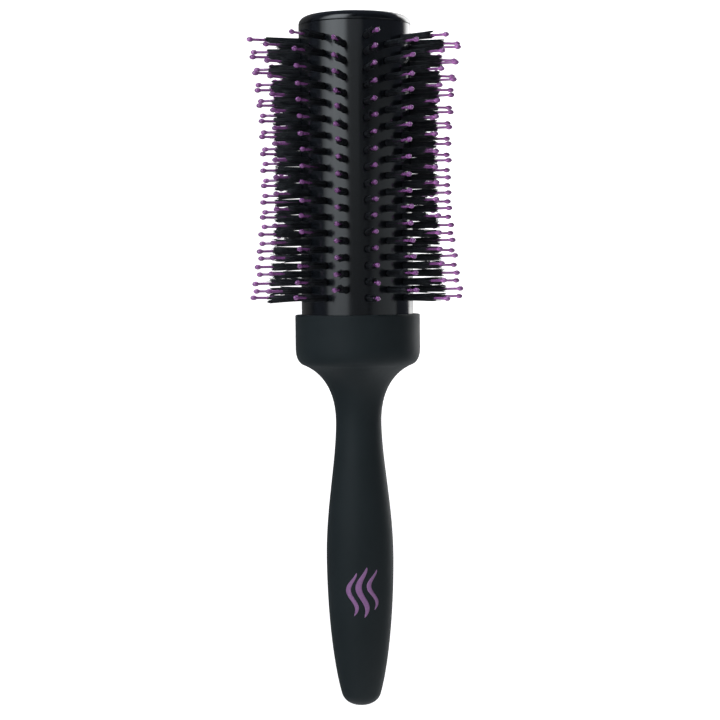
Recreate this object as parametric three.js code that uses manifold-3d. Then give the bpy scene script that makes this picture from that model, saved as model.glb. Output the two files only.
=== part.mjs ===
// Round barrel brush for blow-drying hair.
//
// Millimetres. +Z runs up the brush's axis, from the tip of the handle (z = 0) to the end cap.
// Angles round the axis start at -Y and turn towards +X.
//
// A rigid core runs through the soft-touch handle and ends in a spigot. The hollow barrel stands
// on that core, inside the handle's collar. Each of its holes lets out one tuft: a bunch of
// bristles with a ball-tipped pin beside it. Bristles and pins are moulded in lengthwise strips,
// which a core tube presses outwards against the barrel's wall. One long screw pulls a dished
// plate, the core tube and the base plug down onto the handle, and the end cap closes the barrel.

import * as THREE from "three";
import { mergeGeometries, mergeVertices } from "three/addons/utils/BufferGeometryUtils.js";
import Module from "manifold-3d";

const wasm = await Module();
wasm.setup();

// ---- driving dimensions ----------------------------------------------------------------------

const GAP = 0.3; // left between pieces that touch

const HANDLE_TIP_RADIUS = 7.65;
const HANDLE_TIP_HEIGHT = 4.75;
const HANDLE_MAX_RADIUS = 12.95;
const HANDLE_MAX_Z = 58;
const WAIST_RADIUS = 8.8;
const WAIST_Z = 110.4;
const FLARE_RADIUS = 20.9; // where the concave flare turns into the collar's rounded shoulder
const FLARE_Z = 132.25;
const COLLAR_RADIUS = 24;
const COLLAR_SHOULDER_Z = 139;
const COLLAR_TOP_Z = 151.7;
const SKIN_THICKNESS = 2.2;
const COLLAR_EDGE = 0.6; // bevel round the collar's rim

const BARREL_RADIUS = 21.5;
const BARREL_WALL = 2;
const BARREL_BOTTOM_Z = 141;
const CAP_SEAM_Z = 261.9;
const CAP_TOP_Z = 265.5;
const CAP_EDGE_RADIUS = 3.3;
const CAP_THICKNESS = 2.2;
const CAP_RIM_WIDTH = 1.9;
const CAP_RIM_DEPTH = 3.1;

const ROWS = 16;
const LONG_ROW_TUFTS = 17; // long and short rows take turns, half a pitch apart
const TUFT_PITCH = 6.1;
const FIRST_TUFT_Z = 158.1;
const MIDDLE_Z = FIRST_TUFT_Z + ((LONG_ROW_TUFTS - 1) * TUFT_PITCH) / 2;
const HALF_LENGTH = MIDDLE_Z - FIRST_TUFT_Z;

const BRISTLE_RADIUS_MIDDLE = 32.1; // the brush is slightly waisted: tips stand lower half-way up
const BRISTLE_RADIUS_END = 35.2;
const BRISTLE_ROOT = 2;
const BRISTLE_TIP = 3.2;
const BRISTLE_THICKNESS = 1.8;
const PIN_RADIUS_MIDDLE = 37.2;
const PIN_RADIUS_END = 42;
const PIN_DIAMETER = 0.7;

const STRIP_HEIGHT = 2;
const STRIP_END_MARGIN = 0.5;
const HOLE_LENGTH = 2.9; // along the axis
const HOLE_WIDTH = 3.4; // round the barrel
const CORE_TUBE_WALL = 1.6;

const BASE_PLUG_HEIGHT = 9;
const BASE_PLUG_FLOOR = 3;
const BASE_PLUG_WALL = 2;
const SPIGOT_RADIUS = 9;
const SPIGOT_TOP_Z = 157;
const SCREW_RADIUS = 2;
const SCREW_HEAD_RADIUS = 3.6;
const SCREW_HEAD_HEIGHT = 2.8;
const SCREW_SOCKET_RADIUS = 1.7;
const SCREW_SOCKET_DEPTH = 1.8;
const SCREW_END_Z = 147;
const INSERT_RADIUS = 3.2;
const INSERT_LENGTH = 9;
const WASHER_RADIUS = 5;
const WASHER_THICKNESS = 0.8;
const PLATE_THICKNESS = 2;
const PLATE_WELL_RADIUS = 7.5;
const PLATE_WELL_DEPTH = 6;

// Segments round the axis. The barrel's flats face the rows, and so do the core tube's.
const BARREL_SIDES = 2 * ROWS;
const HANDLE_SIDES = 24;
const SMALL_SIDES = 16;

// ---- materials -------------------------------------------------------------------------------

function material(color, roughness, metalness = 0) {
  return new THREE.MeshStandardMaterial({ color, roughness, metalness });
}

const SOFT_TOUCH = material(0x23292c, 0.6);
const GLOSS_BLACK = material(0x0c0c0e, 0.12);
const INNER_BLACK = material(0x1b1b1d, 0.5);
const BRISTLE_BLACK = material(0x101012, 0.45);
const PIN_PURPLE = material(0x9a5fae, 0.35);
const STEEL = material(0xb9bcc0, 0.3, 1);
const BRASS = material(0xb8924a, 0.35, 1);

// ---- helpers ---------------------------------------------------------------------------------

const brush = new THREE.Group();

function addMesh(name, geometry, meshMaterial, parent = brush) {
  const mesh = new THREE.Mesh(geometry, meshMaterial);
  mesh.name = name;
  parent.add(mesh);
  return mesh;
}

function vec(radius, z) {
  return new THREE.Vector2(radius, z);
}

// A profile of (radius, z) points turned round the Z axis.
function turned(profile, sides, startAngle = 0) {
  return new THREE.LatheGeometry(profile, sides, startAngle).rotateX(Math.PI / 2);
}

// A straight tube: its profile closes on itself.
function tube(innerRadius, outerRadius, bottomZ, topZ, sides, startAngle = 0) {
  const profile = [
    vec(innerRadius, bottomZ),
    vec(outerRadius, bottomZ),
    vec(outerRadius, topZ),
    vec(innerRadius, topZ),
    vec(innerRadius, bottomZ),
  ];
  return turned(profile, sides, startAngle);
}

function solid(geometry) {
  const bare = geometry.clone();
  bare.deleteAttribute("normal");
  bare.deleteAttribute("uv");
  const merged = mergeVertices(bare, 1e-4);
  return new wasm.Manifold(
    new wasm.Mesh({
      numProp: 3,
      vertProperties: new Float32Array(merged.attributes.position.array),
      triVerts: new Uint32Array(merged.index.array),
    }),
  );
}

function cut(body, tool) {
  const mesh = solid(body).subtract(solid(tool)).getMesh();
  const geometry = new THREE.BufferGeometry();
  geometry.setAttribute("position", new THREE.BufferAttribute(mesh.vertProperties, 3));
  geometry.setIndex(new THREE.BufferAttribute(mesh.triVerts, 1));
  geometry.computeVertexNormals();
  return geometry;
}

// ---- handle ----------------------------------------------------------------------------------

// The handle's outline, from the tip to the collar's shoulder.
const TIP_LEAN = vec(0.261, 0.965); // direction of the outline where the tip's rounding ends
const FLARE_LEAN = vec(0.922, 0.387); // and where the flare turns into the shoulder
const tipEnd = vec(HANDLE_TIP_RADIUS, HANDLE_TIP_HEIGHT);
const flareEnd = vec(FLARE_RADIUS, FLARE_Z);

function along(point, direction, distance) {
  return point.clone().addScaledVector(direction, distance);
}

const HANDLE_CURVES = [
  new THREE.CubicBezierCurve(vec(0, 0), vec(5.4, 0), along(tipEnd, TIP_LEAN, -2), tipEnd),
  new THREE.CubicBezierCurve(
    tipEnd,
    along(tipEnd, TIP_LEAN, 13.9),
    vec(HANDLE_MAX_RADIUS, HANDLE_MAX_Z - 17.7),
    vec(HANDLE_MAX_RADIUS, HANDLE_MAX_Z),
  ),
  new THREE.CubicBezierCurve(
    vec(HANDLE_MAX_RADIUS, HANDLE_MAX_Z),
    vec(HANDLE_MAX_RADIUS, HANDLE_MAX_Z + 20),
    vec(WAIST_RADIUS, WAIST_Z - 15),
    vec(WAIST_RADIUS, WAIST_Z),
  ),
  new THREE.CubicBezierCurve(
    vec(WAIST_RADIUS, WAIST_Z),
    vec(WAIST_RADIUS, WAIST_Z + 7.2),
    along(flareEnd, FLARE_LEAN, -10.9),
    flareEnd,
  ),
  new THREE.CubicBezierCurve(
    flareEnd,
    along(flareEnd, FLARE_LEAN, 2.6),
    vec(COLLAR_RADIUS, COLLAR_SHOULDER_Z - 3.2),
    vec(COLLAR_RADIUS, COLLAR_SHOULDER_Z),
  ),
];
const OUTER_STEPS = [4, 5, 5, 6, 3]; // for each curve in turn
const INNER_STEPS = [2, 3, 3, 5, 2];

// The same outline, moved inwards by a depth measured square to it.
function handleOutline(depth, steps) {
  const points = [];
  HANDLE_CURVES.forEach((curve, index) => {
    for (let i = index === 0 ? 0 : 1; i <= steps[index]; i++) {
      const t = i / steps[index];
      const tangent = curve.getTangent(t);
      points.push(along(curve.getPoint(t), vec(-tangent.y, tangent.x), depth));
    }
  });
  points[0].x = 0;
  return points;
}

function addGripSkin() {
  const rimInner = COLLAR_RADIUS - SKIN_THICKNESS;
  const profile = [
    ...handleOutline(0, OUTER_STEPS),
    vec(COLLAR_RADIUS, COLLAR_TOP_Z - COLLAR_EDGE),
    vec(COLLAR_RADIUS - COLLAR_EDGE, COLLAR_TOP_Z),
    vec(rimInner + COLLAR_EDGE / 2, COLLAR_TOP_Z),
    vec(rimInner, COLLAR_TOP_Z - COLLAR_EDGE / 2),
    ...handleOutline(SKIN_THICKNESS, INNER_STEPS).reverse(),
  ];
  addMesh("grip_skin", turned(profile, HANDLE_SIDES), SOFT_TOUCH);
}

// Rigid core: it fills the skin, carries the barrel on its flange, and its spigot centres the plug.
function addHandleCore() {
  const flangeTop = BARREL_BOTTOM_Z - GAP;
  const pocketBottom = SPIGOT_TOP_Z - INSERT_LENGTH - GAP;
  const pocketRadius = INSERT_RADIUS + GAP;
  const profile = [
    ...handleOutline(SKIN_THICKNESS + GAP, INNER_STEPS),
    vec(COLLAR_RADIUS - SKIN_THICKNESS - GAP, flangeTop),
    vec(SPIGOT_RADIUS, flangeTop),
    vec(SPIGOT_RADIUS, SPIGOT_TOP_Z),
    vec(pocketRadius, SPIGOT_TOP_Z),
    vec(pocketRadius, pocketBottom),
    vec(SCREW_RADIUS + GAP, pocketBottom),
    vec(SCREW_RADIUS + GAP, SCREW_END_Z - GAP),
    vec(0, SCREW_END_Z - GAP),
  ];
  addMesh("handle_core", turned(profile, HANDLE_SIDES), INNER_BLACK);

  const insert = tube(
    SCREW_RADIUS + GAP,
    INSERT_RADIUS,
    SPIGOT_TOP_Z - INSERT_LENGTH,
    SPIGOT_TOP_Z,
    SMALL_SIDES,
  );
  addMesh("threaded_insert", insert, BRASS);
}

// ---- barrel ----------------------------------------------------------------------------------

const WALL_INNER = BARREL_RADIUS - BARREL_WALL;
// Distance from the axis to a flat inside the barrel's wall, less the gap.
const STRIP_FRONT = WALL_INNER * Math.cos(Math.PI / BARREL_SIDES) - GAP;
const STRIP_BACK = STRIP_FRONT - STRIP_HEIGHT;
const PLUG_RADIUS = WALL_INNER - 1.5 * GAP;
const STRIP_BOTTOM_Z = BARREL_BOTTOM_Z + BASE_PLUG_HEIGHT + GAP;
const STRIP_TOP_Z = CAP_SEAM_Z - CAP_RIM_DEPTH - GAP;

// Angle of a row round the axis, and the heights of its tufts.
function rowAngle(row) {
  return ((row + 0.5) * 2 * Math.PI) / ROWS;
}

function tuftHeights(row) {
  const short = row % 2;
  const heights = [];
  for (let i = 0; i < LONG_ROW_TUFTS - short; i++) {
    heights.push(FIRST_TUFT_Z + (i + short / 2) * TUFT_PITCH);
  }
  return heights;
}

// Radius of the tips at a height: a shallow parabola, lowest half-way up the barrel.
function tipRadius(z, middle, end) {
  return middle + (end - middle) * ((z - MIDDLE_Z) / HALF_LENGTH) ** 2;
}

function addBarrelTube() {
  const body = tube(
    WALL_INNER,
    BARREL_RADIUS,
    BARREL_BOTTOM_Z,
    CAP_SEAM_Z - GAP,
    BARREL_SIDES,
    Math.PI / BARREL_SIDES,
  );
  const holes = [];
  for (let row = 0; row < ROWS; row++) {
    for (const z of tuftHeights(row)) {
      const hole = new THREE.BoxGeometry(HOLE_WIDTH, 3 * BARREL_WALL, HOLE_LENGTH);
      hole.translate(0, BARREL_WALL / 2 - BARREL_RADIUS, z);
      hole.rotateZ(rowAngle(row));
      holes.push(hole);
    }
  }
  addMesh("barrel_tube", cut(body, mergeGeometries(holes)), GLOSS_BLACK);
}

function addBasePlug() {
  const top = BARREL_BOTTOM_Z + BASE_PLUG_HEIGHT;
  const floor = top - BASE_PLUG_FLOOR;
  const hubInner = SPIGOT_RADIUS + GAP;
  const profile = [
    vec(hubInner, BARREL_BOTTOM_Z),
    vec(hubInner + BASE_PLUG_WALL, BARREL_BOTTOM_Z),
    vec(hubInner + BASE_PLUG_WALL, floor),
    vec(PLUG_RADIUS - BASE_PLUG_WALL, floor),
    vec(PLUG_RADIUS - BASE_PLUG_WALL, BARREL_BOTTOM_Z),
    vec(PLUG_RADIUS, BARREL_BOTTOM_Z),
    vec(PLUG_RADIUS, top),
    vec(hubInner, top),
    vec(hubInner, BARREL_BOTTOM_Z),
  ];
  addMesh("base_plug", turned(profile, SMALL_SIDES), INNER_BLACK);
}

// The core tube's flats lie behind the strips. Its circumscribed radius comes from their distance.
const CORE_TUBE_RADIUS = (STRIP_BACK - GAP) / Math.cos(Math.PI / ROWS);

function addCoreTube() {
  const inner = CORE_TUBE_RADIUS - CORE_TUBE_WALL;
  addMesh("core_tube", tube(inner, CORE_TUBE_RADIUS, STRIP_BOTTOM_Z, STRIP_TOP_Z, ROWS), INNER_BLACK);
}

// Dished plate on the core tube's upper end, with the screw's head down in its well.
const WELL_FLOOR_Z = STRIP_TOP_Z + GAP - PLATE_WELL_DEPTH;

function addClampPlate() {
  const bottom = STRIP_TOP_Z + GAP;
  const top = bottom + PLATE_THICKNESS;
  const bore = SCREW_RADIUS + GAP;
  const profile = [
    vec(bore, WELL_FLOOR_Z - PLATE_THICKNESS),
    vec(PLATE_WELL_RADIUS + PLATE_THICKNESS, WELL_FLOOR_Z - PLATE_THICKNESS),
    vec(PLATE_WELL_RADIUS + PLATE_THICKNESS, bottom),
    vec(CORE_TUBE_RADIUS - GAP, bottom),
    vec(CORE_TUBE_RADIUS - GAP, top),
    vec(PLATE_WELL_RADIUS, top),
    vec(PLATE_WELL_RADIUS, WELL_FLOOR_Z),
    vec(bore, WELL_FLOOR_Z),
    vec(bore, WELL_FLOOR_Z - PLATE_THICKNESS),
  ];
  addMesh("clamp_plate", turned(profile, SMALL_SIDES), INNER_BLACK);
}

function addScrew() {
  const washerBottom = WELL_FLOOR_Z + GAP;
  const washerTop = washerBottom + WASHER_THICKNESS;
  const washer = tube(SCREW_RADIUS + GAP, WASHER_RADIUS, washerBottom, washerTop, SMALL_SIDES);
  addMesh("screw_washer", washer, STEEL);

  const headBottom = washerTop + GAP;
  const headTop = headBottom + SCREW_HEAD_HEIGHT;
  const profile = [
    vec(0, SCREW_END_Z),
    vec(SCREW_RADIUS, SCREW_END_Z),
    vec(SCREW_RADIUS, headBottom),
    vec(SCREW_HEAD_RADIUS, headBottom),
    vec(SCREW_HEAD_RADIUS, headTop),
    vec(0, headTop),
  ];
  const socket = new THREE.CylinderGeometry(
    SCREW_SOCKET_RADIUS,
    SCREW_SOCKET_RADIUS,
    2 * SCREW_SOCKET_DEPTH,
    6,
  );
  socket.rotateX(Math.PI / 2);
  socket.translate(0, 0, headTop);
  addMesh("tie_screw", cut(turned(profile, SMALL_SIDES), socket), STEEL);
}

function addEndCap() {
  const underside = CAP_TOP_Z - CAP_THICKNESS;
  const rimBottom = CAP_SEAM_Z - CAP_RIM_DEPTH;
  const edge = new THREE.Path();
  edge.absarc(
    BARREL_RADIUS - CAP_EDGE_RADIUS,
    CAP_TOP_Z - CAP_EDGE_RADIUS,
    CAP_EDGE_RADIUS,
    0,
    Math.PI / 2,
  );
  const profile = [
    vec(0, underside),
    vec(PLUG_RADIUS - CAP_RIM_WIDTH, underside),
    vec(PLUG_RADIUS - CAP_RIM_WIDTH, rimBottom),
    vec(PLUG_RADIUS, rimBottom),
    vec(PLUG_RADIUS, CAP_SEAM_Z),
    vec(BARREL_RADIUS, CAP_SEAM_Z),
    ...edge.getPoints(3),
    vec(0, CAP_TOP_Z),
  ];
  addMesh("end_cap", turned(profile, BARREL_SIDES, Math.PI / BARREL_SIDES), GLOSS_BLACK);
}

// ---- bristles and pins -----------------------------------------------------------------------

// A strip with teeth, as one plate: the strip runs along Z, the teeth stand out towards -Y, and
// the plate is centred on the given place along X.
function comb(heights, rootWidth, tipWidth, middleRadius, endRadius, thickness, place) {
  const bottom = STRIP_BOTTOM_Z + STRIP_END_MARGIN;
  const top = STRIP_TOP_Z - STRIP_END_MARGIN;
  const outline = new THREE.Shape();
  outline.moveTo(bottom, STRIP_BACK);
  outline.lineTo(top, STRIP_BACK);
  outline.lineTo(top, STRIP_FRONT);
  for (const z of heights.toReversed()) {
    const tip = tipRadius(z, middleRadius, endRadius);
    outline.lineTo(z + rootWidth / 2, STRIP_FRONT);
    outline.lineTo(z + tipWidth / 2, tip);
    outline.lineTo(z - tipWidth / 2, tip);
    outline.lineTo(z - rootWidth / 2, STRIP_FRONT);
  }
  outline.lineTo(bottom, STRIP_FRONT);
  const plate = new THREE.ExtrudeGeometry(outline, { depth: thickness, bevelEnabled: false });
  plate.translate(0, 0, place - thickness / 2);
  const toRow = new THREE.Matrix4().makeBasis(
    new THREE.Vector3(0, 0, 1),
    new THREE.Vector3(0, -1, 0),
    new THREE.Vector3(1, 0, 0),
  );
  return plate.applyMatrix4(toRow);
}

// In each hole the bristles and the pin stand side by side, with the gap all round them.
const BRISTLE_PLACE = (BRISTLE_THICKNESS - HOLE_WIDTH) / 2 + GAP;
const PIN_PLACE = (HOLE_WIDTH - PIN_DIAMETER) / 2 - GAP;

function addRows() {
  for (let row = 0; row < ROWS; row++) {
    const number = String(row + 1).padStart(2, "0");
    const heights = tuftHeights(row);
    const holder = new THREE.Group();
    holder.rotation.z = rowAngle(row);
    brush.add(holder);

    const bristles = comb(
      heights,
      BRISTLE_ROOT,
      BRISTLE_TIP,
      BRISTLE_RADIUS_MIDDLE,
      BRISTLE_RADIUS_END,
      BRISTLE_THICKNESS,
      BRISTLE_PLACE,
    );
    addMesh(`bristle_row_${number}`, bristles, BRISTLE_BLACK, holder);

    const pins = comb(
      heights,
      PIN_DIAMETER,
      PIN_DIAMETER,
      PIN_RADIUS_MIDDLE,
      PIN_RADIUS_END,
      PIN_DIAMETER,
      PIN_PLACE,
    );
    addMesh(`pin_row_${number}`, pins, PIN_PURPLE, holder);
  }
}

// ---- the whole brush -------------------------------------------------------------------------

addGripSkin();
addHandleCore();
addBasePlug();
addBarrelTube();
addCoreTube();
addClampPlate();
addScrew();
addEndCap();
addRows();

export default brush;
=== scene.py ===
"""A round barrel brush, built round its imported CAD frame.

Metres, +Z up the brush's axis from the handle's tip, and -Y towards the camera. Angles round the
axis start at -Y and turn towards +X, as in the CAD model. Lengths written in millimetres are
multiplied by MM where they are used.
"""

import math

import bpy
import numpy as np
from mathutils import Matrix, Vector
from mathutils.geometry import interpolate_bezier


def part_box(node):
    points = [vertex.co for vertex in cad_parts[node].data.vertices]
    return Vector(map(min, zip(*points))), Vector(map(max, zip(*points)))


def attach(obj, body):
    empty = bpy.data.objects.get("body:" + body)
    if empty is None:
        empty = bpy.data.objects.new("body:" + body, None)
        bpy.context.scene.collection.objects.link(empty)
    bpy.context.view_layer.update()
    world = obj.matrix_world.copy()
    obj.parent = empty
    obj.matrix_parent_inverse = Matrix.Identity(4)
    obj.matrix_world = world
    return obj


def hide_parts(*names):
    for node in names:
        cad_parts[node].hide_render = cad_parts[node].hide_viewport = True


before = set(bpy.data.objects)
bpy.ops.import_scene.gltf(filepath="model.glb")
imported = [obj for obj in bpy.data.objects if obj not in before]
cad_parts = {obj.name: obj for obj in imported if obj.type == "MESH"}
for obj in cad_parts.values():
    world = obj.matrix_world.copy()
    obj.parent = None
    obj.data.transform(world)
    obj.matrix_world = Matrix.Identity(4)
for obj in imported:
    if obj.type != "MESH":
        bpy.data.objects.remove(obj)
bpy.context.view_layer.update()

MM = 0.001
TAU = 2 * math.pi
rng = np.random.default_rng(43)

# ---- sizes ------------------------------------------------------------------------------------

SKIN_TOP_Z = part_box("grip_skin")[1].z / MM
BARREL_BOTTOM_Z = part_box("barrel_tube")[0].z / MM
CAP_LOW, CAP_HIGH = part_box("end_cap")

ROWS = 16
LONG_ROW_TUFTS = 17  # long and short rows take turns, half a pitch apart
TUFT_PITCH = 6.1
FIRST_TUFT_Z = 158.1
MIDDLE_Z = FIRST_TUFT_Z + (LONG_ROW_TUFTS - 1) * TUFT_PITCH / 2
HALF_LENGTH = MIDDLE_Z - FIRST_TUFT_Z

BARREL_RADIUS = 21.5
BARREL_WALL = 2.0
INNER_RADIUS = BARREL_RADIUS - BARREL_WALL
CAP_SEAM_Z = 261.9
CAP_EDGE = (4.2, 3.3)  # the rounded edge's reach inwards and down
SEAM_GAP = 0.2
SEAM_BEVEL = 0.06
HOLE_HALF_WIDTH, HOLE_HALF_HEIGHT = 1.13, 1.28
HOLE_ROUNDING = 0.16
COLLAR_RADIUS = 24.0
SKIN_THICKNESS = 2.2


def row_angle(row):
    return (row + 0.5) * TAU / ROWS


def tuft_heights(row):
    short = row % 2
    return [FIRST_TUFT_Z + (i + short / 2) * TUFT_PITCH for i in range(LONG_ROW_TUFTS - short)]


def outward(angle):
    return Vector((math.sin(angle), -math.cos(angle), 0))


def sideways(angle):
    return Vector((math.cos(angle), math.sin(angle), 0))


def waisted(z, middle, end):
    """A radius that is lowest half-way up the barrel, in mm."""
    return middle + (end - middle) * ((z - MIDDLE_Z) / HALF_LENGTH) ** 2


# ---- materials --------------------------------------------------------------------------------


def new_material(name, **sockets):
    """A Principled material. Sockets that are the same all over are set straight on the shader."""
    material = bpy.data.materials.new(name)
    material.use_nodes = True
    shader = material.node_tree.nodes["Principled BSDF"]
    for socket, value in sockets.items():
        shader.inputs[socket.replace("_", " ")].default_value = value
    return material, material.node_tree, shader


def noise(tree, scale, detail=3.0, roughness=0.5, stretch=(1, 1, 1)):
    """Noise in the object's own coordinates. Scale is in features per metre."""
    place = tree.nodes.new("ShaderNodeTexCoord")
    mapping = tree.nodes.new("ShaderNodeMapping")
    mapping.inputs["Scale"].default_value = stretch
    texture = tree.nodes.new("ShaderNodeTexNoise")
    texture.inputs["Scale"].default_value = scale
    texture.inputs["Detail"].default_value = detail
    texture.inputs["Roughness"].default_value = roughness
    tree.links.new(place.outputs["Object"], mapping.inputs["Vector"])
    tree.links.new(mapping.outputs["Vector"], texture.inputs["Vector"])
    return texture.outputs["Fac"]


def ramp(tree, fac, stops):
    """Colour ramp from (position, colour) stops."""
    node = tree.nodes.new("ShaderNodeValToRGB")
    elements = node.color_ramp.elements
    while len(elements) < len(stops):
        elements.new(0.5)
    for element, (position, color) in zip(elements, stops):
        element.position = position
        element.color = (*color, 1)
    tree.links.new(fac, node.inputs["Fac"])
    return node.outputs["Color"]


NOISE_LOW, NOISE_HIGH = 0.3, 0.7  # noise values stay near this range


def tint(tree, shader, fac, dark, light):
    """Base colour from a noise value: dark where it is low, and light where it is high."""
    color = ramp(tree, fac, [(NOISE_LOW, dark), (NOISE_HIGH, light)])
    tree.links.new(color, shader.inputs["Base Color"])


def spread(tree, fac, low, high):
    """Maps a noise value to low to high."""
    node = tree.nodes.new("ShaderNodeMapRange")
    node.inputs["From Min"].default_value = NOISE_LOW
    node.inputs["From Max"].default_value = NOISE_HIGH
    node.inputs["To Min"].default_value = low
    node.inputs["To Max"].default_value = high
    tree.links.new(fac, node.inputs["Value"])
    return node.outputs["Result"]


def bump(tree, shader, height, distance, strength=1.0):
    node = tree.nodes.new("ShaderNodeBump")
    node.inputs["Distance"].default_value = distance
    node.inputs["Strength"].default_value = strength
    tree.links.new(height, node.inputs["Height"])
    tree.links.new(node.outputs["Normal"], shader.inputs["Normal"])


def soft_touch_material():
    """Matt rubbery coating: a fine grain, faint rubbed patches and a soft edge sheen."""
    material, tree, shader = new_material(
        "soft_touch",
        Sheen_Weight=0.05,
        Sheen_Roughness=0.4,
        Sheen_Tint=(0.8, 0.88, 0.9, 1),
        Specular_IOR_Level=0.13,
    )
    patches = noise(tree, 45, detail=4)
    tint(tree, shader, patches, (0.0111, 0.0152, 0.0167), (0.0133, 0.0180, 0.0199))
    rubbed = noise(tree, 120, detail=5)
    tree.links.new(spread(tree, rubbed, 0.54, 0.62), shader.inputs["Roughness"])
    bump(tree, shader, noise(tree, 5200, detail=2), 0.00002, 0.5)
    return material


def gloss_black_material():
    """Mirror-gloss moulded plastic, with faint wiping marks and a trace of moulding ripple."""
    material, tree, shader = new_material("gloss_black", Specular_IOR_Level=0.5)
    cloud = noise(tree, 60, detail=2)
    tint(tree, shader, cloud, (0.0032, 0.0040, 0.0054), (0.0044, 0.0053, 0.0070))
    wiped = noise(tree, 900, detail=4, stretch=(1, 1, 0.08))
    tree.links.new(spread(tree, wiped, 0.12, 0.17), shader.inputs["Roughness"])
    bump(tree, shader, noise(tree, 30, detail=1, stretch=(1, 1, 0.4)), 0.00004, 0.35)
    return material


def bristle_material():
    """Black filament: dyed unevenly along its length, with a silky gloss."""
    material, tree, shader = new_material("bristle_black", Specular_IOR_Level=0.22)
    dye = noise(tree, 700, detail=2)
    tint(tree, shader, dye, (0.0145, 0.0160, 0.0190), (0.0240, 0.0262, 0.0300))
    tree.links.new(spread(tree, noise(tree, 2500), 0.42, 0.55), shader.inputs["Roughness"])
    return material


def pin_material():
    """Purple nylon: lets some light through, and is a little paler where it flowed thin."""
    material, tree, shader = new_material(
        "pin_nylon", Transmission_Weight=0.55, IOR=1.53, Specular_IOR_Level=0.5
    )
    flow = noise(tree, 350, detail=3)
    tint(tree, shader, flow, (0.360, 0.122, 0.375), (0.490, 0.185, 0.505))
    tree.links.new(spread(tree, noise(tree, 1800), 0.10, 0.18), shader.inputs["Roughness"])
    return material


def ink_material():
    """Printed ink: satin, a little uneven where it went onto the soft coating."""
    material, tree, shader = new_material("print_ink", Specular_IOR_Level=0.4)
    cover = noise(tree, 1400, detail=4)
    tint(tree, shader, cover, (0.225, 0.098, 0.235), (0.275, 0.128, 0.285))
    tree.links.new(spread(tree, noise(tree, 3000), 0.42, 0.55), shader.inputs["Roughness"])
    bump(tree, shader, noise(tree, 6000), 0.00001, 0.5)
    return material


def inner_plastic_material():
    """Plain moulded plastic of the hidden parts."""
    material, tree, shader = new_material("inner_plastic")
    tint(tree, shader, noise(tree, 200), (0.010, 0.010, 0.011), (0.016, 0.016, 0.017))
    tree.links.new(spread(tree, noise(tree, 900), 0.42, 0.55), shader.inputs["Roughness"])
    return material


def metal_material(name, dark, light, roughness):
    """Turned metal: fine rings round the axis."""
    material, tree, shader = new_material(name, Metallic=1.0)
    rings = noise(tree, 400, detail=3, stretch=(0.1, 0.1, 6))
    tint(tree, shader, rings, dark, light)
    tree.links.new(spread(tree, rings, *roughness), shader.inputs["Roughness"])
    return material


SOFT_TOUCH = soft_touch_material()
GLOSS_BLACK = gloss_black_material()
BRISTLE = bristle_material()
PIN = pin_material()
INK = ink_material()
INNER_PLASTIC = inner_plastic_material()
STEEL = metal_material("zinc_steel", (0.52, 0.53, 0.55), (0.68, 0.69, 0.71), (0.22, 0.36))
BRASS = metal_material("brass", (0.58, 0.42, 0.17), (0.72, 0.55, 0.26), (0.2, 0.34))

# ---- pieces -----------------------------------------------------------------------------------


def add_piece(name, vertices, faces, material, replaced=(), normals=None):
    """A smooth mesh that rides on the brush. Vertices and normals are in metres."""
    mesh = bpy.data.meshes.new(name)
    mesh.from_pydata(vertices, [], faces)
    mesh.validate()
    mesh.shade_smooth()
    if normals is not None:
        mesh.normals_split_custom_set_from_vertices(normals)
    mesh.materials.append(material)
    piece = bpy.data.objects.new(name, mesh)
    bpy.context.scene.collection.objects.link(piece)
    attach(piece, "root")
    if replaced:
        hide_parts(*replaced)
    return piece


TURNED_SIDES = 160
ON_AXIS = 1e-6  # a smaller radius counts as none


def turned(profile):
    """Vertices and faces of a closed profile of (radius, z) in mm, turned round the axis.

    The profile runs anticlockwise, seen with the radius to the right and z upwards. Points on the
    axis become single vertices.
    """
    sides = TURNED_SIDES
    vertices, rings, faces = [], [], []
    for radius, z in profile:
        if radius < ON_AXIS:
            vertices.append((0, 0, z * MM))
            rings.append([len(vertices) - 1] * sides)
            continue
        start = len(vertices)
        for i in range(sides):
            spot = outward(i * TAU / sides) * radius * MM
            vertices.append((spot.x, spot.y, z * MM))
        rings.append(list(range(start, start + sides)))
    if profile[0][0] > ON_AXIS:
        rings.append(rings[0])
    for low, high in zip(rings, rings[1:]):
        for i in range(sides):
            j = (i + 1) % sides
            corners = [low[i], low[j], high[j], high[i]]
            faces.append(list(dict.fromkeys(corners)))
    return vertices, faces


def arc(centre, radius, start, end, steps):
    """Points of an arc in the (radius, z) plane. Angles are in degrees from the outward side."""
    turns = [math.radians(start + (end - start) * i / steps) for i in range(steps + 1)]
    return [(centre[0] + radius * math.cos(t), centre[1] + radius * math.sin(t)) for t in turns]


# ---- handle and collar ------------------------------------------------------------------------

# Bezier curves of the outline, in (radius, z): a knot, its two handles, and the next knot.
HANDLE_CURVES = [
    ((0, 0), (5.4, 0), (7.13, 2.82), (7.65, 4.75)),
    ((7.65, 4.75), (11.28, 18.16), (12.95, 40.3), (12.95, 58)),
    ((12.95, 58), (12.95, 78), (8.8, 95.4), (8.8, 110.4)),
    ((8.8, 110.4), (8.8, 117.6), (10.85, 128.03), (20.9, 132.25)),
    ((20.9, 132.25), (23.3, 133.26), (24, 135.8), (24, 139)),
]
OUTER_STEPS = (12, 22, 26, 30, 14)  # for each curve in turn
INNER_STEPS = (4, 8, 8, 12, 5)
COLLAR_STRAIGHT_Z = 142.0  # the first ring of the collar's straight side
MOUTH_ROUNDING, MOUTH_INNER_ROUNDING = 0.55, 0.3
MOUTH_MARGIN = 0.4  # from the straight side's last ring to the rounding


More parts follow.
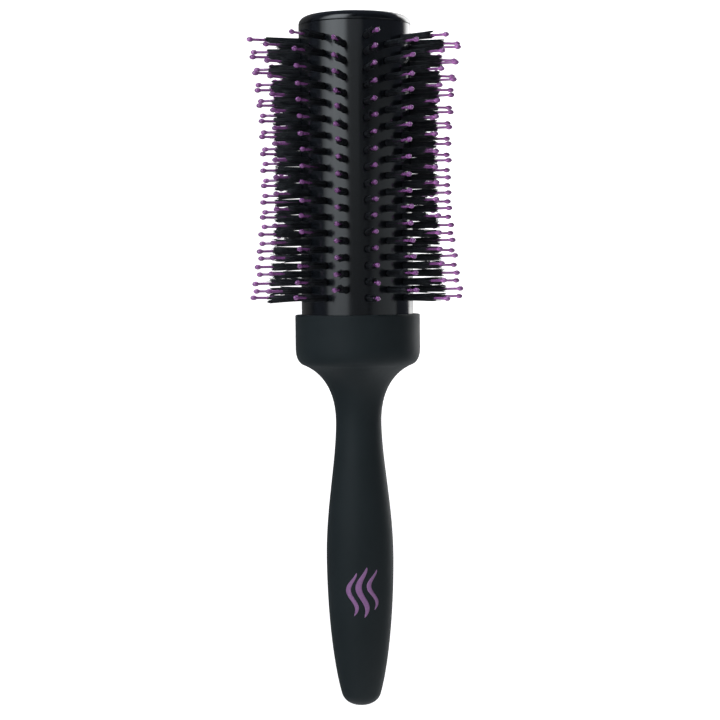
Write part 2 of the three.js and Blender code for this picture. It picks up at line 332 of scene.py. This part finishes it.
def handle_outline(steps, depth=0.0):
    """The outline, moved inwards by a depth measured square to it."""
    outline = []
    for curve, count in zip(HANDLE_CURVES, steps):
        knots = [Vector(point) for point in curve]
        points = interpolate_bezier(*knots, count + 1)
        outline += points if not outline else points[1:]
    if not depth:
        return [tuple(point) for point in outline]
    moved = []
    for i, point in enumerate(outline):
        before = outline[max(i - 1, 0)]
        after = outline[min(i + 1, len(outline) - 1)]
        slope = (after - before).normalized()
        moved.append((point.x - slope.y * depth, point.y + slope.x * depth))
    moved[0] = (0.0, depth)
    return moved


def add_handle():
    top, edge, inner_edge = SKIN_TOP_Z, MOUTH_ROUNDING, MOUTH_INNER_ROUNDING
    rim_inner = COLLAR_RADIUS - SKIN_THICKNESS
    profile = handle_outline(OUTER_STEPS)
    straight_top = top - edge - MOUTH_MARGIN
    profile += [(COLLAR_RADIUS, z) for z in np.linspace(COLLAR_STRAIGHT_Z, straight_top, 6)]
    profile += arc((COLLAR_RADIUS - edge, top - edge), edge, 0, 90, 6)
    profile += arc((rim_inner + inner_edge, top - inner_edge), inner_edge, 90, 180, 4)
    profile += handle_outline(INNER_STEPS, SKIN_THICKNESS)[::-1]
    vertices, faces = turned(profile)
    add_piece("handle_skin", vertices, faces, SOFT_TOUCH, ["grip_skin"])


def handle_radius(z):
    """Radius of the handle's outside at a height, in mm."""
    outline = handle_outline(OUTER_STEPS)
    return float(np.interp(z, [point[1] for point in outline], [point[0] for point in outline]))


# ---- print on the handle ----------------------------------------------------------------------

PRINT_MIDDLE_Z = 45.8
PRINT_HEIGHT = 19.3
PRINT_OFFSET = 1.15  # the print sits a little to the right of the middle
INK_LIFT = 0.04
# Round a strand's section: the place across it, and how far it stands out of the handle.
INK_SECTION = [(-1, 0.5), (-0.5, 0.9), (0, 1), (0.5, 0.9), (1, 0.5), (1, -1), (0, -1), (-1, -1)]
STRAND_STEPS = 72
STRAND_WAVE = 1.65  # how far a strand swings to each side
STRAND_TURNS, STRAND_START = 1.15, 0.06  # waves along a strand, and where the first one starts
STRAND_TAPER = 0.55  # the lower, the blunter the ends
STRAND_TIP = 0.004  # keeps the tips from running out to no width
# Middle, width, length and upward shift of each strand.
STRANDS = [
    (-4.2, 2.1, PRINT_HEIGHT * 0.86, -0.7),
    (-0.2, 2.5, PRINT_HEIGHT, 0),
    (3.8, 1.9, PRINT_HEIGHT * 0.8, 0.9),
]


def wavy_strand(centre, width, length, shift):
    """One wavy strand of hair: a thin tapering band of ink that follows the handle's surface."""
    vertices, faces = [], []
    for i in range(STRAND_STEPS + 1):
        t = i / STRAND_STEPS
        z = PRINT_MIDDLE_Z + shift + (t - 0.5) * length
        middle = centre + STRAND_WAVE * math.sin(TAU * (t * STRAND_TURNS + STRAND_START))
        along = min(max(t, STRAND_TIP), 1 - STRAND_TIP)
        half = width / 2 * math.sin(math.pi * along) ** STRAND_TAPER
        radius = handle_radius(z)
        for across, raised in INK_SECTION:
            angle = (PRINT_OFFSET + middle + across * half) / radius
            spot = outward(angle) * (radius + raised * INK_LIFT) * MM
            vertices.append((spot.x, spot.y, z * MM))
    count = len(INK_SECTION)
    for low in range(0, len(vertices) - count, count):
        for k in range(count):
            j = (k + 1) % count
            faces.append((low + k, low + j, low + count + j, low + count + k))
    faces += [range(count)[::-1], range(len(vertices) - count, len(vertices))]
    return vertices, faces


def add_print():
    vertices, faces = [], []
    for strand in STRANDS:
        points, polygons = wavy_strand(*strand)
        faces += [[i + len(vertices) for i in polygon] for polygon in polygons]
        vertices += points
    add_piece("hair_strand_print", vertices, faces, INK)


# ---- barrel -----------------------------------------------------------------------------------


class Shell:
    """Collects vertices with exact normals, and welds the ones that meet."""

    GRID = 1e7  # steps in a metre: points on the same step are welded

    def __init__(self):
        self.vertices, self.normals, self.faces, self.known = [], [], [], {}

    def vertex(self, point, normal):
        key = tuple(round(c * self.GRID) for c in point)
        if key not in self.known:
            self.known[key] = len(self.vertices)
            self.vertices.append(tuple(point))
            self.normals.append(tuple(normal))
        return self.known[key]

    def strip(self, low, high):
        """Quads between two closed rings of the same length."""
        for i in range(len(low)):
            j = (i + 1) % len(low)
            corners = list(dict.fromkeys((low[i], low[j], high[j], high[i])))
            if len(corners) > 2:
                self.faces.append(corners)


SECTOR_STEPS = 8  # steps of the barrel's surface across one row
CELL_ARC = TAU / ROWS


def barrel_point(angle, z, radius):
    return outward(angle) * radius * MM + Vector((0, 0, z * MM))


def cell_border(angle, z):
    """The 24 points (angle, z) round the patch of wall that holds one hole, from its lower left."""
    quarter = TUFT_PITCH / 4
    left, right = angle - CELL_ARC / 2, angle + CELL_ARC / 2
    across = [left + CELL_ARC * i / SECTOR_STEPS for i in range(SECTOR_STEPS)]
    border = [(a, z - 2 * quarter) for a in across]
    border += [(right, z + q * quarter) for q in (-2, -1, 0, 1)]
    border += [(left + right - a, z + 2 * quarter) for a in across]
    border += [(left, z + q * quarter) for q in (2, 1, 0, -1)]
    return border


PATCH_RINGS = (0.14, 0.48)  # shares of the way from the hole to the patch's border


def add_cell(shell, angle, z):
    """A patch of the wall with one hole through it, outside and inside."""
    border = cell_border(angle, z)
    flat = [((a - angle) * BARREL_RADIUS, height - z) for a, height in border]
    turns = [math.atan2(v, u) for u, v in flat]

    def ring(u_v, depth, inward):
        """A ring below the surface, whose normals are turned towards the hole's middle.

        They point straight out of the barrel where inward is 0, and to the middle where it is 1.
        """
        made = []
        for (u, v), turn in zip(u_v, turns):
            a = angle + u / BARREL_RADIUS
            point = barrel_point(a, z + v, BARREL_RADIUS - depth)
            normal = outward(a) * (1 - inward)
            normal -= (sideways(a) * math.cos(turn) + Vector((0, 0, math.sin(turn)))) * inward
            made.append(shell.vertex(point, normal.normalized()))
        return made

    def oval(extra):
        width, height = HOLE_HALF_WIDTH + extra, HOLE_HALF_HEIGHT + extra
        return [(width * math.cos(t), height * math.sin(t)) for t in turns]

    rings = [ring(flat, 0, 0)]
    rim = oval(HOLE_ROUNDING)
    for share in reversed(PATCH_RINGS):
        between = []
        for near, far in zip(rim, flat):
            between.append([a + (b - a) * share for a, b in zip(near, far)])
        rings.append(ring(between, 0, 0))
    for degrees in (0, 30, 60, 90):  # the hole's rounded edge
        out, down = math.cos(math.radians(degrees)), math.sin(math.radians(degrees))
        edge = oval(HOLE_ROUNDING * (1 - down))
        rings.append(ring(edge, HOLE_ROUNDING * (1 - out), down / (down + out)))
    rings.append(ring(oval(0), BARREL_WALL, 1))
    for low, high in zip(rings, rings[1:]):
        shell.strip(low, high)

    inside = [
        shell.vertex(barrel_point(a, height, INNER_RADIUS), -outward(a)) for a, height in border
    ]
    shell.strip(rings[-1], inside)


def add_plain_patch(shell, angle, low, high):
    """A patch of the wall with no hole, one step high, outside and inside."""
    for i in range(SECTOR_STEPS):
        a = angle - CELL_ARC / 2 + CELL_ARC * i / SECTOR_STEPS
        b = a + CELL_ARC / SECTOR_STEPS
        outer = [(a, low), (b, low), (b, high), (a, high)]
        shell.faces.append(
            [shell.vertex(barrel_point(t, z, BARREL_RADIUS), outward(t)) for t, z in outer]
        )
        shell.faces.append(
            [shell.vertex(barrel_point(t, z, INNER_RADIUS), -outward(t)) for t, z in outer[::-1]]
        )


def add_barrel_end(shell, end, side):
    """One end of the wall, with a bevelled outer edge. Side is 1 at the top, -1 at the bottom."""
    turns = [i * TAU / (ROWS * SECTOR_STEPS) for i in range(ROWS * SECTOR_STEPS)]
    up = Vector((0, 0, side))
    inside = end - side * SEAM_BEVEL
    # Radius and height of each ring, and how much its normals point outwards and up.
    stages = [
        (BARREL_RADIUS, inside, 1, 0),
        (BARREL_RADIUS - SEAM_BEVEL, end, 1, 1),
        (INNER_RADIUS, end, 0, 1),
        (INNER_RADIUS, inside, -1, 0),
    ]
    rings = []
    for radius, z, out, rise in stages:
        ring = []
        for t in turns:
            ring.append(shell.vertex(barrel_point(t, z, radius), outward(t) * out + up * rise))
        rings.append(ring)
    if side < 0:
        rings.reverse()
    for low, high in zip(rings, rings[1:]):
        shell.strip(low, high)


def add_barrel():
    shell = Shell()
    quarter = TUFT_PITCH / 4
    cells_low = FIRST_TUFT_Z - 2 * quarter
    cells_high = cells_low + LONG_ROW_TUFTS * TUFT_PITCH
    bottom, top = BARREL_BOTTOM_Z, CAP_SEAM_Z - SEAM_GAP
    below = list(np.linspace(bottom + SEAM_BEVEL, cells_low, 8))
    above = list(np.linspace(cells_high, top - SEAM_BEVEL, 5))
    for row in range(ROWS):
        angle = row_angle(row)
        for z in tuft_heights(row):
            add_cell(shell, angle, z)
        if row % 2:  # a short row leaves half a pitch of plain wall at each end
            for start in (cells_low, cells_high - 2 * quarter):
                add_plain_patch(shell, angle, start, start + quarter)
                add_plain_patch(shell, angle, start + quarter, start + 2 * quarter)
        for levels in (below, above):
            for low, high in zip(levels, levels[1:]):
                add_plain_patch(shell, angle, low, high)
    add_barrel_end(shell, bottom, -1)
    add_barrel_end(shell, top, 1)
    add_piece(
        "barrel_shell",
        shell.vertices,
        shell.faces,
        GLOSS_BLACK,
        ["barrel_tube"],
        shell.normals,
    )


CAP_THICKNESS = 2.2
CAP_RIM_OUTER, CAP_RIM_INNER = 19.0, 17.2  # the rim under the cap, inside the barrel


def add_end_cap():
    top, bottom = CAP_HIGH.z / MM, CAP_LOW.z / MM
    underside = top - CAP_THICKNESS
    profile = [
        (0, underside),
        (CAP_RIM_INNER, underside),
        (CAP_RIM_INNER, bottom),
        (CAP_RIM_OUTER, bottom),
        (CAP_RIM_OUTER, CAP_SEAM_Z),
        (BARREL_RADIUS - SEAM_BEVEL, CAP_SEAM_Z),
        (BARREL_RADIUS, CAP_SEAM_Z + SEAM_BEVEL),
    ]
    reach, drop = CAP_EDGE
    steps = 24
    for i in range(steps + 1):
        turn = math.radians(90 * i / steps)
        radius = BARREL_RADIUS - reach * (1 - math.cos(turn))
        profile.append((radius, top - drop * (1 - math.sin(turn))))
    profile += [(radius, top) for radius in (15.0, 10.0, 5.0, 0)]  # the flat top
    vertices, faces = turned(profile)
    cap = add_piece("end_cap_shell", vertices, faces, GLOSS_BLACK, ["end_cap"])
    cap.data.set_sharp_from_angle(angle=math.radians(50))


# ---- bristles ---------------------------------------------------------------------------------

FILAMENTS = 66  # in each tuft
FILAMENT_RADIUS = 0.15
TUFT_HALF_WIDTH, TUFT_HALF_HEIGHT = 0.98, 1.12  # at the root
GOLDEN_TURN = math.pi * (3 - math.sqrt(5))
TUFT_SPREAD = 1.32  # how much wider a tuft is at its tip
TUFT_HOLLOW = 2.6  # the middle of a tuft, round the pin, is shorter
TIP_MIDDLE, TIP_END = 31.8, 35.3
TIP_UNEVENNESS = 1.2
PLACES_FOR_PIN = 3  # places in the middle of a tuft that hold no filament
# How far the tips lean: of a whole tuft, of single filaments, and of stray ones.
TUFT_LEAN, FILAMENT_LEAN, STRAY_LEAN = 0.2, 0.09, 0.55
STRAY_SHARE = 0.05
STRAY_REACH = (0.2, 1.6)  # how far a stray filament stands out past the others
BEND_POWER = 1.7  # the higher, the nearer to the tip a filament bends
FILAMENT_ROOT_RADIUS = 18.9
STRIP_BACK, STRIP_FRONT = 18.2, 19.1
STRIP_HALF_WIDTH = 1.5
STAGES = np.array([0.0, 0.35, 0.7, 1.0])  # places along a filament
STAGE_WIDTHS = np.array([1.0, 1.0, 0.95, 0.75])  # shares of its radius there


def rounded_bar(back, front, half_width, low, high):
    """A strip along the axis with bevelled edges, as vertices in row coordinates and faces.

    Row coordinates are (outwards, sideways, z) in mm.
    """
    bevel = 0.2
    section = [
        (back, half_width - bevel),
        (back, -half_width + bevel),
        (back + bevel, -half_width),
        (front - bevel, -half_width),
        (front, -half_width + bevel),
        (front, half_width - bevel),
        (front - bevel, half_width),
        (back + bevel, half_width),
    ]
    count = len(section)
    vertices = [(r, s, z) for z in (low, high) for r, s in section]
    faces = [[i, (i + 1) % count, count + (i + 1) % count, count + i] for i in range(count)]
    faces += [list(range(count))[::-1], list(range(count, 2 * count))]
    return np.array(vertices), faces


def to_world(points, angle):
    """Row coordinates (outwards, sideways, z) in mm to metres in the brush's frame."""
    out, side = outward(angle), sideways(angle)
    x = points[..., 0] * out.x + points[..., 1] * side.x
    y = points[..., 0] * out.y + points[..., 1] * side.y
    return np.stack([x, y, points[..., 2]], axis=-1) * MM


def tuft_filaments(z):
    """Centre lines (filament, stage, 3) of one tuft in row coordinates."""
    order = np.arange(FILAMENTS)
    turn = order * GOLDEN_TURN + rng.uniform(0, TAU)
    reach = np.sqrt((order + PLACES_FOR_PIN) / (FILAMENTS + PLACES_FOR_PIN - 1))
    root = np.stack(
        [TUFT_HALF_WIDTH * reach * np.cos(turn), TUFT_HALF_HEIGHT * reach * np.sin(turn)], axis=1
    )
    lean = rng.normal(0, TUFT_LEAN, 2)
    splay = root * (TUFT_SPREAD - 1) + rng.normal(0, FILAMENT_LEAN, (FILAMENTS, 2)) + lean
    stray = rng.random(FILAMENTS) < STRAY_SHARE
    strays = int(stray.sum())
    splay[stray] += rng.normal(0, STRAY_LEAN, (strays, 2))
    tip = waisted(z, TIP_MIDDLE, TIP_END) - np.abs(rng.normal(0, TIP_UNEVENNESS, FILAMENTS))
    tip -= TUFT_HOLLOW * (1 - reach) ** 2
    tip[stray] += rng.uniform(*STRAY_REACH, strays)
    along = FILAMENT_ROOT_RADIUS + (tip[:, None] - FILAMENT_ROOT_RADIUS) * STAGES
    bend = STAGES**BEND_POWER
    side = root[:, None, 0] + splay[:, None, 0] * bend
    high = z + root[:, None, 1] + splay[:, None, 1] * bend
    return np.stack([along, side, high], axis=2)


def filament_tubes(lines):
    """Three-sided tubes round centre lines, closed at both ends."""
    count, stages, _ = lines.shape
    spin = rng.uniform(0, TAU, count)
    vertices = np.zeros((count, stages, 3, 3))
    width = FILAMENT_RADIUS * STAGE_WIDTHS
    for k in range(3):
        turn = spin + k * TAU / 3
        vertices[:, :, k, 0] = lines[:, :, 0]
        vertices[:, :, k, 1] = lines[:, :, 1] + np.cos(turn)[:, None] * width
        vertices[:, :, k, 2] = lines[:, :, 2] + np.sin(turn)[:, None] * width
    faces = []
    for start in range(0, count * stages * 3, stages * 3):
        faces.append((start + 2, start + 1, start))
        for stage in range(stages - 1):
            low = start + stage * 3
            for k in range(3):
                j = (k + 1) % 3
                faces.append((low + k, low + j, low + 3 + j, low + 3 + k))
        end = start + (stages - 1) * 3
        faces.append((end, end + 1, end + 2))
    return vertices.reshape(-1, 3), faces


def add_row_piece(name, parts, angle, material, replaced):
    """Joins parts given in row coordinates into one piece."""
    vertices, faces, offset = [], [], 0
    for points, polygons in parts:
        vertices.append(to_world(np.asarray(points), angle))
        faces += [[i + offset for i in polygon] for polygon in polygons]
        offset += len(points)
    return add_piece(name, np.concatenate(vertices).tolist(), faces, material, [replaced])


def add_bristle_row(row):
    node = f"bristle_row_{row + 1:02d}"
    low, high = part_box(node)
    lines = np.concatenate([tuft_filaments(z) for z in tuft_heights(row)])
    parts = [
        filament_tubes(lines),
        rounded_bar(STRIP_BACK, STRIP_FRONT, STRIP_HALF_WIDTH, low.z / MM, high.z / MM),
    ]
    add_row_piece(f"{node}_tufts", parts, row_angle(row), BRISTLE, node)


# ---- pins -------------------------------------------------------------------------------------

HEAD_LENGTH, HEAD_RADIUS = 2.6, 0.94  # a long round head
HEAD_MIDDLE, HEAD_END = 35.8, 40.4  # radius of the heads' centres
SHAFT_RADIUS = 0.49
PIN_SIDES = 12
PIN_ROOT = 17.5
PIN_LENGTH_SPREAD = (-0.25, 0.1)
PIN_LEAN, PIN_MOST_LEAN = 0.014, 0.022  # a share of the length
PIN_BOW, PIN_MOST_BOW = 0.25, 0.45  # four times the bend half-way along
RAIL_BACK, RAIL_FRONT = 17.1, 17.9
RAIL_HALF_WIDTH = 1.0


def pin_profile(length):
    """(distance from the root, radius) of a pin: a thin shaft that runs into a long round head."""
    profile = [(0, SHAFT_RADIUS * 1.2), (length * 0.5, SHAFT_RADIUS * 1.05)]
    profile += [(length - HEAD_LENGTH * 0.6, SHAFT_RADIUS)]
    neck, steps = 147, 10  # the head starts this many degrees from its tip
    for i in range(steps + 1):
        turn = math.radians(neck - i * neck / steps)
        profile.append((length + HEAD_LENGTH / 2 * math.cos(turn), HEAD_RADIUS * math.sin(turn)))
    return profile


def pin(z):
    """One pin in row coordinates, leaning and bending a little its own way."""
    length = waisted(z, HEAD_MIDDLE, HEAD_END) - PIN_ROOT + rng.uniform(*PIN_LENGTH_SPREAD)
    profile = pin_profile(length)
    lean = np.clip(rng.normal(0, PIN_LEAN, 2), -PIN_MOST_LEAN, PIN_MOST_LEAN)
    bow = np.clip(rng.normal(0, PIN_BOW, 2), -PIN_MOST_BOW, PIN_MOST_BOW)
    vertices, faces = [], []
    for along, radius in profile[:-1]:
        share = along / length
        side = lean[0] * along + bow[0] * share * (1 - share)
        high = z + lean[1] * along + bow[1] * share * (1 - share)
        for k in range(PIN_SIDES):
            turn = k * TAU / PIN_SIDES
            vertices.append(
                (PIN_ROOT + along, side + radius * math.cos(turn), high + radius * math.sin(turn))
            )
    rings = len(profile) - 1
    faces.append(list(range(PIN_SIDES))[::-1])
    for ring in range(rings - 1):
        for k in range(PIN_SIDES):
            j = (k + 1) % PIN_SIDES
            low, top = ring * PIN_SIDES, (ring + 1) * PIN_SIDES
            faces.append((low + k, low + j, top + j, top + k))
    vertices.append((PIN_ROOT + profile[-1][0], lean[0] * length, z + lean[1] * length))
    last = (rings - 1) * PIN_SIDES
    faces += [(last + k, last + (k + 1) % PIN_SIDES, rings * PIN_SIDES) for k in range(PIN_SIDES)]
    return np.array(vertices), faces


def add_pin_row(row):
    node = f"pin_row_{row + 1:02d}"
    low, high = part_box(node)
    parts = [pin(z) for z in tuft_heights(row)]
    parts.append(rounded_bar(RAIL_BACK, RAIL_FRONT, RAIL_HALF_WIDTH, low.z / MM, high.z / MM))
    add_row_piece(f"{node}_pins", parts, row_angle(row), PIN, node)


# ---- hidden CAD parts -------------------------------------------------------------------------


def finish_hidden_parts():
    finishes = {
        "handle_core": INNER_PLASTIC,
        "base_plug": INNER_PLASTIC,
        "core_tube": INNER_PLASTIC,
        "clamp_plate": INNER_PLASTIC,
        "threaded_insert": BRASS,
        "tie_screw": STEEL,
        "screw_washer": STEEL,
    }
    for node, material in finishes.items():
        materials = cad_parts[node].data.materials
        materials.clear()
        materials.append(material)


# ---- studio -----------------------------------------------------------------------------------

CAMERA_TARGET = Vector((0.00075, 0, 0.1340))
CAMERA_DISTANCE = 0.714
CAMERA_ELEVATION = math.radians(2.64)
CAMERA_ROLL = -0.0105
CAMERA_LENS = 92.6


def add_camera():
    data = bpy.data.cameras.new("camera")
    data.lens = CAMERA_LENS
    data.sensor_width = 36
    camera = bpy.data.objects.new("camera", data)
    bpy.context.scene.collection.objects.link(camera)
    back = Vector((0, -math.cos(CAMERA_ELEVATION), math.sin(CAMERA_ELEVATION)))
    camera.rotation_mode = "QUATERNION"
    roll = Matrix.Rotation(CAMERA_ROLL, 4, "Z").to_quaternion()
    camera.rotation_quaternion = (-back).to_track_quat("-Z", "Y") @ roll
    camera.location = CAMERA_TARGET + back * CAMERA_DISTANCE
    bpy.context.scene.camera = camera


PANEL_DISTANCE = 0.9


def fade(tree, value, stops):
    """Brightness from (value, share) stops, straight between them."""
    low, high = stops[0][0], stops[-1][0]
    place = tree.nodes.new("ShaderNodeMapRange")
    place.inputs["From Min"].default_value = low
    place.inputs["From Max"].default_value = high
    tree.links.new(value, place.inputs["Value"])
    shares = [((at - low) / (high - low), (share,) * 3) for at, share in stops]
    return ramp(tree, place.outputs["Result"], shares)


def glow_material(name, across, heights, radiance, color):
    """Light that a panel gives off, from stops across it and up it, in metres."""
    material = bpy.data.materials.new(name)
    material.use_nodes = True
    tree = material.node_tree
    tree.nodes.clear()
    place = tree.nodes.new("ShaderNodeTexCoord")
    split = tree.nodes.new("ShaderNodeSeparateXYZ")
    tree.links.new(place.outputs["Object"], split.inputs["Vector"])
    both = tree.nodes.new("ShaderNodeMath")
    both.operation = "MULTIPLY"
    tree.links.new(fade(tree, split.outputs["X"], across), both.inputs[0])
    tree.links.new(fade(tree, split.outputs["Y"], heights), both.inputs[1])
    strength = tree.nodes.new("ShaderNodeMath")
    strength.operation = "MULTIPLY"
    strength.inputs[1].default_value = radiance
    tree.links.new(both.outputs[0], strength.inputs[0])
    glow = tree.nodes.new("ShaderNodeEmission")
    glow.inputs["Color"].default_value = (*color, 1)
    tree.links.new(strength.outputs[0], glow.inputs["Strength"])
    output = tree.nodes.new("ShaderNodeOutputMaterial")
    tree.links.new(glow.outputs["Emission"], output.inputs["Surface"])
    return material


def add_panel(name, azimuths, heights, radiance, color, cut=None):
    """An upright softbox that faces the brush.

    Azimuths are (degrees, share) stops, where 0 is the camera's side and 90 is the right. Heights
    are (metres, share) stops. The shares multiply the radiance, where 1 renders as white. A cut
    takes off the lower left corner, from a height on the left edge to a point (azimuth, height).
    """
    middle = (azimuths[0][0] + azimuths[-1][0]) / 2

    def place(azimuth):
        return PANEL_DISTANCE * math.tan(math.radians(azimuth - middle))

    across = [(place(azimuth), share) for azimuth, share in azimuths]
    left, right = across[0][0], across[-1][0]
    low, high = heights[0][0], heights[-1][0]
    outline = [(right, low), (right, high), (left, high)]
    if cut:
        edge_height, (azimuth, height) = cut
        outline += [(left, edge_height), (place(azimuth), height), (place(azimuth), low)]
    else:
        outline += [(left, low)]
    corners = [(x, y, 0) for x, y in outline]
    mesh = bpy.data.meshes.new(name)
    mesh.from_pydata(corners, [], [list(range(len(corners)))[::-1]])
    mesh.materials.append(glow_material(name, across, heights, radiance, color))
    panel = bpy.data.objects.new(name, mesh)
    bpy.context.scene.collection.objects.link(panel)
    side = outward(math.radians(middle))
    panel.location = side * PANEL_DISTANCE
    panel.rotation_mode = "QUATERNION"
    panel.rotation_quaternion = (-side).to_track_quat("-Z", "Y")
    panel.visible_camera = False


def add_white_card(name, corners):
    """A white surface that the camera sees, and that shows through the pins."""
    mesh = bpy.data.meshes.new(name)
    mesh.from_pydata(corners, [], [(0, 1, 2, 3)])
    card = bpy.data.objects.new(name, mesh)
    bpy.context.scene.collection.objects.link(card)
    material, tree, shader = new_material(name, Roughness=0.9, Emission_Strength=1.0)
    shader.inputs["Emission Color"].default_value = (1, 1, 1, 1)
    tint(tree, shader, noise(tree, 3), (0.80, 0.80, 0.80), (0.84, 0.84, 0.84))
    mesh.materials.append(material)
    card.visible_glossy = False
    card.visible_diffuse = False


def add_softboxes():
    cool, white = (0.93, 1.0, 1.05), (1, 1, 1)
    # The large softbox at the front left: the barrel's bright band, and its soft edges.
    add_panel(
        "left_softbox",
        azimuths=[
            (-80, 0), (-76, 0.05), (-72, 0.18), (-69, 0.43), (-63, 0.55), (-59, 0.82),
            (-44, 1), (-22, 0.86), (-13, 0.17), (3, 0.14), (13, 0.12), (18, 0),
        ],
        heights=[(-0.6, 0.1), (-0.1, 0.2), (0.13, 0.29), (0.37, 0.7), (0.8, 0.95), (2.2, 0.75)],
        radiance=5.05,
        color=cool,
        cut=(0.475, (-43, -0.12)),
    )
    # High above it: lights the tufts from over the barrel's reflections.
    add_panel(
        "top_fill",
        azimuths=[(-58, 0), (-35, 1), (-16, 1), (-6, 0.05), (60, 0.05), (80, 0)],
        heights=[(0.6, 0), (0.9, 1), (2.6, 1)],
        radiance=1.2,
        color=cool,
    )
    add_panel(
        "right_fill",
        azimuths=[
            (3, 0), (8, 0.3), (19, 0.3), (24, 0.12), (34, 0.5), (50, 0.75), (84, 1), (89, 0),
        ],
        heights=[(-0.6, 0.6), (0.26, 1), (0.36, 0)],
        radiance=0.8,
        color=cool,
    )
    add_panel(
        "left_rim",
        azimuths=[(-180, 1), (-116, 1), (-98, 0)],
        heights=[(-0.6, 1), (1.0, 1)],
        radiance=0.16,
        color=white,
    )
    # Behind on the right: the bright strip along the barrel's right edge.
    add_panel(
        "right_rim",
        azimuths=[
            (111, 0), (116, 0.06), (122, 0.3), (128, 0.7), (133, 1),
            (142, 0.95), (151, 0.6), (163, 0.34), (180, 0.25),
        ],
        heights=[
            (-0.6, 0.2), (-0.05, 0.24), (0.03, 0.4), (0.08, 1),
            (0.115, 1), (0.14, 0.56), (0.37, 1), (1.0, 1),
        ],
        radiance=5.2,
        color=white,
        cut=(0.60, (130.5, 0.13)),
    )


BOUNCE_RADIANCE = 1.1
BOUNCE_PLACE = (0.25, 0, -0.28)
FLOOR_Z = -0.30
FLOOR_HALF_WIDTH = 6.0
BACKDROP_HALF_WIDTH, BACKDROP_Y, BACKDROP_TOP_Z = 0.8, 1.5, 1.1
ROOM_COLOR = (0.8, 0.9, 1.15)
ROOM_RADIANCE = 0.14


def add_floor_bounce():
    """The light that the pale floor sends up."""
    bounce = bpy.data.lights.new("floor_bounce", "AREA")
    bounce.shape = "DISK"
    bounce.size = 1.0
    area = math.pi * (bounce.size / 2) ** 2
    bounce.energy = BOUNCE_RADIANCE * math.pi * area
    lamp = bpy.data.objects.new("floor_bounce", bounce)
    bpy.context.scene.collection.objects.link(lamp)
    lamp.location = BOUNCE_PLACE
    lamp.rotation_mode = "QUATERNION"
    lamp.rotation_quaternion = Vector((0, 0, 1)).to_track_quat("-Z", "Y")
    lamp.visible_camera = False


def add_floor_and_backdrop():
    half, level = FLOOR_HALF_WIDTH, FLOOR_Z
    floor = [(-half, -half, level), (half, -half, level), (half, half, level), (-half, half, level)]
    add_white_card("studio_floor", floor)
    half, back, top = BACKDROP_HALF_WIDTH, BACKDROP_Y, BACKDROP_TOP_Z
    backdrop = [(-half, back, level), (half, back, level), (half, back, top), (-half, back, top)]
    add_white_card("studio_backdrop", backdrop)


def set_world():
    """White to the camera. What the brush reflects is the dark room round the studio."""
    world = bpy.data.worlds.new("studio")
    bpy.context.scene.world = world
    world.use_nodes = True
    tree = world.node_tree
    dim = tree.nodes["Background"]
    dim.inputs["Color"].default_value = (*ROOM_COLOR, 1)
    dim.inputs["Strength"].default_value = ROOM_RADIANCE
    white = tree.nodes.new("ShaderNodeBackground")
    white.inputs["Color"].default_value = (1, 1, 1, 1)
    white.inputs["Strength"].default_value = 1.0
    rays = tree.nodes.new("ShaderNodeLightPath")
    mix = tree.nodes.new("ShaderNodeMixShader")
    tree.links.new(rays.outputs["Is Camera Ray"], mix.inputs["Fac"])
    tree.links.new(dim.outputs["Background"], mix.inputs[1])
    tree.links.new(white.outputs["Background"], mix.inputs[2])
    tree.links.new(mix.outputs["Shader"], tree.nodes["World Output"].inputs["Surface"])


# ---- the whole brush --------------------------------------------------------------------------

add_handle()
add_print()
add_barrel()
add_end_cap()
for row_number in range(ROWS):
    add_bristle_row(row_number)
    add_pin_row(row_number)
finish_hidden_parts()
add_camera()
add_softboxes()
add_floor_bounce()
add_floor_and_backdrop()
set_world()
bpy.context.scene.view_settings.view_transform = "Standard"
